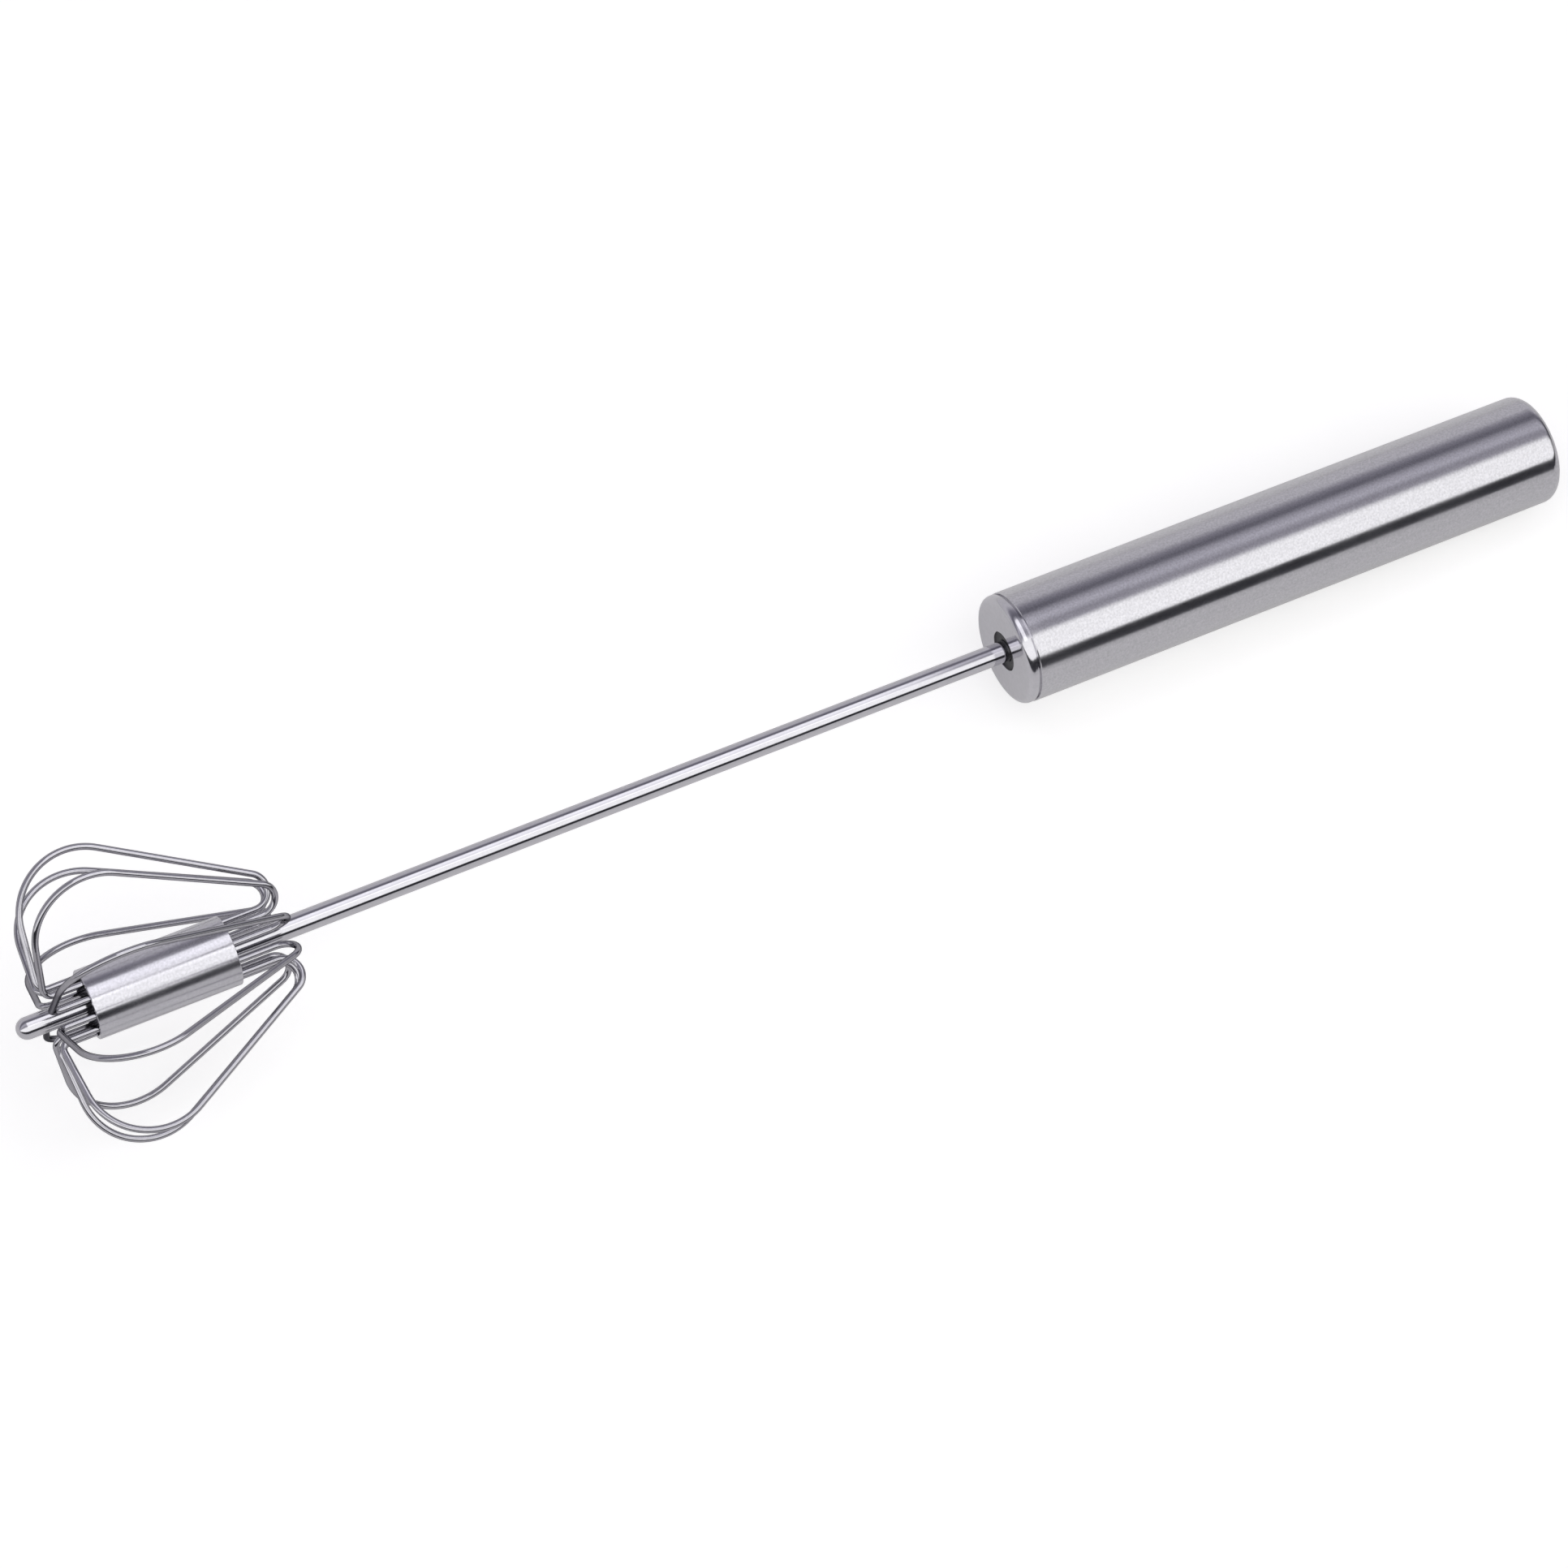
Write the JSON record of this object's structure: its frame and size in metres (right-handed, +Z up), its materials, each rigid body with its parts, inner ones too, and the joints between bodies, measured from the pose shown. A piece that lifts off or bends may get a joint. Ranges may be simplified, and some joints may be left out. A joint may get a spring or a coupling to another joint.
{
  "type": "egg beater",
  "caption": "Hand-held push whisk: pressing its tubular handle down the thin shaft drives a twisted strip that spins a head of triangular wire loops.",
  "frame": {"origin": "on the tool's axis, at the middle of the handle tube", "axes": "+X along the axis from the tip to the palm end, +Z up with the tool lying down"},
  "size_m": [0.306, 0.0512, 0.0514],
  "materials": {
    "satin_steel": "satin stainless with fine drawn lines",
    "polished_steel": "polished stainless",
    "sleeve_steel": "rolled stainless with fine lines",
    "wire_steel": "drawn stainless wire",
    "spring_steel": "plain bright spring steel",
    "dark_nylon": "moulded black nylon",
    "pale_nylon": "moulded natural nylon",
    "rubber": "moulded rubber"
  },
  "bodies": {
    "handle": {"handle_shell": "satin_steel", "lower_cap": "polished_steel", "guide_bush": "dark_nylon", "stop_buffer": "rubber", "top_plug": "pale_nylon", "strip_pin": "spring_steel", "drive_strip": "spring_steel", "upper_spring_washer": "spring_steel", "return_spring": "spring_steel"},
    "spring_seat": {"lower_spring_washer": "spring_steel", "thrust_washer": "pale_nylon"},
    "whisk": {"drive_nut": "pale_nylon", "shaft_tube": "polished_steel", "pivot_tip": "polished_steel", "wire_hub": "spring_steel", "crimp_sleeve": "sleeve_steel", "whisk_wire_01": "wire_steel", "whisk_wire_02": "wire_steel", "whisk_wire_03": "wire_steel", "whisk_wire_04": "wire_steel", "whisk_wire_05": "wire_steel", "whisk_wire_06": "wire_steel", "whisk_wire_07": "wire_steel", "whisk_wire_08": "wire_steel", "whisk_wire_09": "wire_steel", "whisk_wire_10": "wire_steel"}
  },
  "joints": [
    {"name": "handle_push", "type": "slide", "parent": "handle", "child": "spring_seat", "axis": [1, 0, 0], "range_m": [0, 0.06], "stiffness_N_per_m": 120, "springref_m": -0.03, "deforming": ["return_spring"]},
    {"name": "whisk_spin", "type": "hinge", "parent": "spring_seat", "child": "whisk", "pos_m": [0, 0, 0], "axis": [1, 0, 0], "range_deg": [0, 900]}
  ],
  "couplings": [
    {"joint": "whisk_spin", "follows": "handle_push", "rad_per_m": 261.8}
  ]
}
